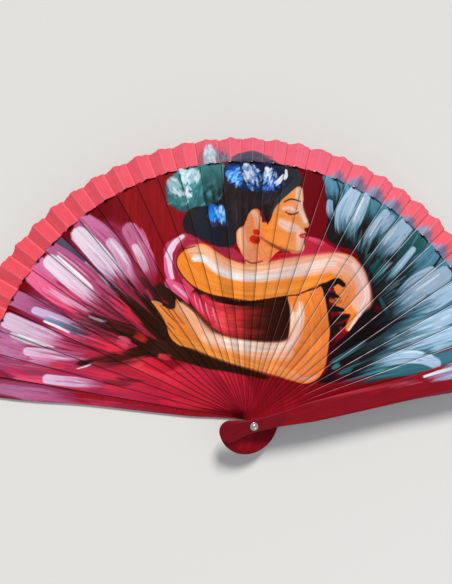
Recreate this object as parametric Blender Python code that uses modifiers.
"""A folding hand fan: 32 lacquered wooden ribs between two guards on one rivet, with a pleated cloth leaf.

The fan lies open on its bottom guard. The rivet's axis is Z, the origin is on that axis in the plane that
the fan rests on, and the ribs spread towards +Y. Each stick lies on the one before it, from the bottom
guard on the left to the top guard on the right, and turns about the rivet.
"""

from math import cos, pi, radians, sin, tan

import bmesh
import bpy

MM = 0.001

# The spread: stick 0 is the bottom guard, 1 to 32 are the ribs, and 33 is the top guard.
RIBS = 32
TOP_STICK = RIBS + 1
PITCH = radians(4.86)                   # angle from one stick to the next, set by one pleat of the leaf
GUARD_PITCH = radians(4.0)              # the first rib stands closer to the bottom guard
GUARD_ANGLE = radians(170.54)           # direction of the bottom guard's centre line

# The stack, from the rest plane up.
GUARD_THICKNESS = 2.4 * MM
RIB_THICKNESS = 0.52 * MM
STACK_STEP = 0.72 * MM                  # one rib and the fold of cloth that lies on it when closed
BOTTOM_GAP = 0.2 * MM
TOP_GAP = 0.4 * MM
FIRST_RIB_Z = GUARD_THICKNESS + BOTTOM_GAP
TOP_GUARD_Z = FIRST_RIB_Z + (RIBS - 1) * STACK_STEP + RIB_THICKNESS + TOP_GAP
STACK_TOP = TOP_GUARD_Z + GUARD_THICKNESS

# The sticks, along and across their own centre lines. U runs out from the rivet.
HEAD_END = 26.8 * MM                    # the rounded end behind the rivet
RIVET_HOLE_RADIUS = 1.8 * MM
EDGE_OFFSET = 4.2 * MM                  # the blade's straight edges pass the rivet at this distance
EDGE_TAPER = radians(1.67)              # and lean out by this angle
BLADE_END = 210 * MM
TIP_END = 227 * MM
TIP_LEFT = 2.4 * MM                     # the narrow tip that carries the leaf is a little off centre
TIP_RIGHT = -4.4 * MM
GUARD_END = 228 * MM

# Half widths of the sticks at stations along U, up to where the blade's straight edge starts.
RIB_HEAD_RADIUS = 7.0 * MM
RIB_NECK = [(-14.5 * MM, 6.0 * MM), (-8 * MM, 4.5 * MM), (2 * MM, 3.7 * MM), (18 * MM, 3.8 * MM),
            (32 * MM, 4.5 * MM), (46 * MM, 5.5 * MM)]
GUARD_HEAD_RADIUS = 8.0 * MM
GUARD_SIDE = [(-14.5 * MM, 7.2 * MM), (-8 * MM, 5.6 * MM), (2 * MM, 4.8 * MM), (17 * MM, 5.1 * MM),
              (32 * MM, 6.3 * MM), (48 * MM, 7.7 * MM), (80 * MM, 8.5 * MM), (125 * MM, 9.2 * MM),
              (150 * MM, 10.4 * MM), (172 * MM, 12.0 * MM), (195 * MM, 12.5 * MM), (222 * MM, 12.2 * MM)]
GUARD_END_RADIUS = 5.0 * MM
GUARD_ROUNDING = 0.5 * MM

# The rivet: a pin through every stick, with a flush head below and a washer and a domed head above.
PIN_RADIUS = 1.5 * MM
REAR_HEAD_RADIUS = 3.0 * MM
REAR_HEAD_THICKNESS = 0.8 * MM
REAR_RECESS_DEPTH = 1.1 * MM
REAR_RECESS_RADIUS = 3.3 * MM
WASHER_RADIUS = 3.1 * MM
WASHER_HOLE = 1.8 * MM
WASHER_THICKNESS = 0.7 * MM
WASHER_GAP = 0.1 * MM
FRONT_HEAD_RADIUS = 1.75 * MM
FRONT_HEAD_HEIGHT = 0.9 * MM

# The leaf: one pleated band of cloth, laid on the ribs' tips and glued between the guards.
LEAF_INNER = 210.6 * MM
LEAF_OUTER = 230 * MM
LEAF_THICKNESS = 0.3 * MM
LEAF_LIFT = 0.12 * MM                   # clear of the tips
RIDGE_AT = 0.42                         # where the folds are, in pitches from a rib's left edge
STEP_AT = 0.85
RIDGE_RISE = 1.2 * MM
VALLEY_DROP = 0.5 * MM                  # below the ribs' undersides

ARC_STEPS = 10
HOLE_STEPS = 16
TURN_STEPS = 32


def smooth_side(stations, per_span=3):
    """Points on a smooth curve through stations of (u, half width)."""
    points = []
    last = len(stations) - 1
    for i in range(last):
        before = stations[max(i - 1, 0)]
        start = stations[i]
        end = stations[i + 1]
        after = stations[min(i + 2, last)]
        for step in range(per_span):
            t = step / per_span
            point = []
            for axis in range(2):
                pull_in = (end[axis] - before[axis]) / 2
                pull_out = (after[axis] - start[axis]) / 2
                point.append((2 * t**3 - 3 * t**2 + 1) * start[axis] + (t**3 - 2 * t**2 + t) * pull_in
                             + (3 * t**2 - 2 * t**3) * end[axis] + (t**3 - t**2) * pull_out)
            points.append(tuple(point))
    points.append(stations[-1])
    return points


def head_arc(radius):
    """The round end behind the rivet, from its left shoulder to its right one."""
    centre = radius - HEAD_END
    start = radians(70)
    sweep = 2 * pi - 2 * start
    return [(centre + radius * cos(start + sweep * i / ARC_STEPS), radius * sin(start + sweep * i / ARC_STEPS))
            for i in range(ARC_STEPS + 1)]


def mirrored(points):
    return [(u, -v) for u, v in points]


def blade_half_width(u):
    return EDGE_OFFSET + u * tan(EDGE_TAPER)


def rib_outline():
    """A rib's outline, counter-clockwise: round head, slim neck, widening blade and narrow tip."""
    neck = smooth_side(RIB_NECK)
    right_side = mirrored(neck) + [(BLADE_END, -blade_half_width(BLADE_END))]
    tip = [(BLADE_END, TIP_RIGHT), (TIP_END, TIP_RIGHT), (TIP_END, TIP_LEFT), (BLADE_END, TIP_LEFT)]
    left_side = [(BLADE_END, blade_half_width(BLADE_END))] + neck[::-1]
    return right_side + tip + left_side + head_arc(RIB_HEAD_RADIUS)


def guard_outline():
    """A guard's outline, counter-clockwise: the same head, and a broad end with rounded corners."""
    side = smooth_side(GUARD_SIDE)
    end_u, end_v = side[-1]
    corner = [(GUARD_END - GUARD_END_RADIUS * (1 - sin(a)), end_v - GUARD_END_RADIUS * (1 - cos(a)))
              for a in (radians(30), radians(60), radians(90))]
    left_side = corner[::-1] + side[::-1]
    right_side = mirrored(side) + mirrored(corner)
    return right_side + left_side + head_arc(GUARD_HEAD_RADIUS)


def hole_outline(radius):
    return [(radius * cos(2 * pi * i / HOLE_STEPS), radius * sin(2 * pi * i / HOLE_STEPS))
            for i in range(HOLE_STEPS)]


def plain_material(name, colour, roughness, metallic=0.0):
    material = bpy.data.materials.new(name)
    material.use_nodes = True
    shader = material.node_tree.nodes["Principled BSDF"]
    shader.inputs["Base Color"].default_value = (*colour, 1.0)
    shader.inputs["Roughness"].default_value = roughness
    shader.inputs["Metallic"].default_value = metallic
    material.diffuse_color = (*colour, 1.0)
    return material


def plate_curve(name, outlines, thickness):
    """A flat plate as a filled 2D curve. Its underside is at the curve's own z = -thickness / 2."""
    curve = bpy.data.curves.new(name, "CURVE")
    curve.dimensions = "2D"
    curve.fill_mode = "BOTH"
    curve.extrude = thickness / 2
    for outline in outlines:
        spline = curve.splines.new("POLY")
        spline.points.add(len(outline) - 1)
        for point, (u, v) in zip(spline.points, outline):
            point.co = (u, v, 0.0, 1.0)
        spline.use_cyclic_u = True
    return curve


def stick_angle(number):
    if number == 0:
        return GUARD_ANGLE
    return GUARD_ANGLE - GUARD_PITCH - (number - 1) * PITCH


def stick_z(number):
    """The height of a stick's underside."""
    if number == 0:
        return 0.0
    if number == TOP_STICK:
        return TOP_GUARD_Z
    return FIRST_RIB_Z + (number - 1) * STACK_STEP


def place_stick(name, data, number, thickness, material, collection):
    """One stick, turned about the rivet, with its origin on the rivet's axis."""
    stick = bpy.data.objects.new(name, data)
    stick.location = (0.0, 0.0, stick_z(number) + thickness / 2)
    stick.rotation_euler = (0.0, 0.0, stick_angle(number))
    stick.data.materials.clear()
    stick.data.materials.append(material)
    collection.objects.link(stick)
    return stick


def round_edges(stick):
    """Weld a plate's loose caps, then round its long edges."""
    weld = stick.modifiers.new("weld", "WELD")
    weld.merge_threshold = 0.00001
    bevel = stick.modifiers.new("rounding", "BEVEL")
    bevel.width = GUARD_ROUNDING
    bevel.segments = 2
    bevel.limit_method = "ANGLE"
    bevel.angle_limit = radians(50)


def add_guard(name, number, material, collection):
    outlines = [guard_outline(), hole_outline(RIVET_HOLE_RADIUS)]
    curve = plate_curve(name, outlines, GUARD_THICKNESS)
    guard = place_stick(name, curve, number, GUARD_THICKNESS, material, collection)
    round_edges(guard)
    return guard


def add_recess(guard, cutters):
    """A round recess under the bottom guard, for the rivet's rear head."""
    bpy.ops.mesh.primitive_cylinder_add(vertices=TURN_STEPS, radius=REAR_RECESS_RADIUS,
                                        depth=2 * REAR_RECESS_DEPTH, location=(0.0, 0.0, 0.0))
    cutter = bpy.context.object
    cutter.name = "rear_recess_cutter"
    cutter.hide_render = True
    cutter.display_type = "WIRE"
    for holder in list(cutter.users_collection):
        holder.objects.unlink(cutter)
    cutters.objects.link(cutter)
    cut = guard.modifiers.new("rear_recess", "BOOLEAN")
    cut.operation = "DIFFERENCE"
    cut.solver = "EXACT"
    cut.object = cutter


def as_mesh_object(source, collection):
    """Swap a curve object for the closed mesh it evaluates to, so that it can take a Boolean."""
    bpy.context.view_layer.update()
    evaluated = source.evaluated_get(bpy.context.evaluated_depsgraph_get())
    mesh = bpy.data.meshes.new_from_object(evaluated)
    welded = bmesh.new()
    welded.from_mesh(mesh)
    bmesh.ops.remove_doubles(welded, verts=welded.verts, dist=0.000001)
    welded.to_mesh(mesh)
    welded.free()
    name = source.name
    matrix = source.matrix_world.copy()
    bpy.data.objects.remove(source)
    result = bpy.data.objects.new(name, mesh)
    result.matrix_world = matrix
    collection.objects.link(result)
    return result


def turned(name, profile, material, collection):
    """A turned piece from a profile of (radius, height), listed from the top down its outer side."""
    mesh = bpy.data.meshes.new(name)
    shape = bmesh.new()
    verts = [shape.verts.new((radius, 0.0, height)) for radius, height in profile]
    for first, second in zip(verts, verts[1:]):
        shape.edges.new((first, second))
    if profile[0][0] > 0.0:
        shape.edges.new((verts[-1], verts[0]))
    shape.to_mesh(mesh)
    shape.free()
    mesh.materials.append(material)
    piece = bpy.data.objects.new(name, mesh)
    collection.objects.link(piece)
    screw = piece.modifiers.new("turn", "SCREW")
    screw.axis = "Z"
    screw.angle = 2 * pi
    screw.steps = TURN_STEPS
    screw.render_steps = TURN_STEPS
    screw.use_merge_vertices = True
    screw.merge_threshold = 0.00001
    screw.use_smooth_shade = True
    return piece


def add_rivet(material, collection):
    """The pin with its flush rear head, the washer under its front head, and the domed front head."""
    washer_z = STACK_TOP + WASHER_GAP
    washer_top = washer_z + WASHER_THICKNESS
    head_z = washer_top + WASHER_GAP
    turned("rivet_pin", [(0.0, head_z - WASHER_GAP), (PIN_RADIUS, head_z - WASHER_GAP),
                         (PIN_RADIUS, REAR_HEAD_THICKNESS), (REAR_HEAD_RADIUS, REAR_HEAD_THICKNESS),
                         (REAR_HEAD_RADIUS, 0.0), (0.0, 0.0)], material, collection)
    edge = 0.25 * MM
    turned("rivet_washer", [(WASHER_HOLE, washer_top), (WASHER_RADIUS - edge, washer_top),
                            (WASHER_RADIUS, washer_top - edge), (WASHER_RADIUS, washer_z),
                            (WASHER_HOLE, washer_z)], material, collection)
    dome = [(FRONT_HEAD_RADIUS * sin(a), head_z + FRONT_HEAD_HEIGHT * cos(a))
            for a in (0.0, radians(25), radians(50), radians(75), radians(90))]
    turned("rivet_head", dome + [(0.0, head_z)], material, collection)


def fold_point(number, pitches, radius, height):
    """Where a fold meets the leaf's inner or outer edge, in the fan's frame."""
    u = radius
    v = EDGE_OFFSET + (tan(EDGE_TAPER) - pitches * tan(PITCH)) * u
    scale = radius / (u * u + v * v) ** 0.5
    u = u * scale
    v = v * scale
    angle = stick_angle(number)
    return (u * cos(angle) - v * sin(angle), u * sin(angle) + v * cos(angle), height)


def leaf_folds():
    """The leaf's fold lines from left to right, as (stick, pitches from its left edge, height)."""
    guard_top = GUARD_THICKNESS + LEAF_LIFT
    folds = [(0, 0.15, guard_top), (0, 0.6, guard_top), (1, 0.0, guard_top)]
    for number in range(1, TOP_STICK):
        on_tip = stick_z(number) + RIB_THICKNESS + LEAF_LIFT
        if number > 1:
            folds.append((number, 0.0, stick_z(number) - VALLEY_DROP))
        folds.append((number, RIDGE_AT - 0.04, on_tip + RIDGE_RISE))
        folds.append((number, RIDGE_AT + 0.06, on_tip))
        folds.append((number, STEP_AT, on_tip))
    under_guard = TOP_GUARD_Z - LEAF_LIFT - LEAF_THICKNESS
    folds.append((TOP_STICK, 0.0, under_guard))
    folds.append((TOP_STICK, 0.75, under_guard))
    return folds


def add_leaf(material, collection):
    """The pleated band, lofted from fold to fold and closed to its thickness."""
    shape = bmesh.new()
    sections = []
    for number, pitches, height in leaf_folds():
        corners = [(LEAF_INNER, height), (LEAF_OUTER, height), (LEAF_OUTER, height + LEAF_THICKNESS),
                   (LEAF_INNER, height + LEAF_THICKNESS)]
        sections.append([shape.verts.new(fold_point(number, pitches, r, z)) for r, z in corners])
    for left, right in zip(sections, sections[1:]):
        for i in range(4):
            j = (i + 1) % 4
            shape.faces.new((left[i], left[j], right[j], right[i]))
    shape.faces.new(sections[0])
    shape.faces.new(sections[-1])
    bmesh.ops.recalc_face_normals(shape, faces=shape.faces)
    mesh = bpy.data.meshes.new("leaf")
    shape.to_mesh(mesh)
    shape.free()
    mesh.materials.append(material)
    leaf = bpy.data.objects.new("leaf", mesh)
    collection.objects.link(leaf)


def main():
    for thing in list(bpy.data.objects):
        bpy.data.objects.remove(thing)
    parts = bpy.data.collections.new("hand_fan")
    cutters = bpy.data.collections.new("cutters")
    bpy.context.scene.collection.children.link(parts)
    bpy.context.scene.collection.children.link(cutters)

    lacquer = plain_material("guard_lacquer", (0.33, 0.006, 0.02), 0.3)
    painted = plain_material("painted_wood", (0.30, 0.01, 0.025), 0.35)
    cloth = plain_material("leaf_cloth", (0.85, 0.10, 0.14), 0.85)
    steel = plain_material("rivet_steel", (0.8, 0.8, 0.82), 0.25, 1.0)

    bottom = add_guard("guard_bottom", 0, lacquer, parts)
    bottom = as_mesh_object(bottom, parts)
    add_recess(bottom, cutters)
    rib_plate = plate_curve("rib", [rib_outline(), hole_outline(RIVET_HOLE_RADIUS)], RIB_THICKNESS)
    for number in range(1, TOP_STICK):
        place_stick(f"rib_{number:02d}", rib_plate, number, RIB_THICKNESS, painted, parts)
    add_guard("guard_top", TOP_STICK, lacquer, parts)
    add_rivet(steel, parts)
    add_leaf(cloth, parts)


main()
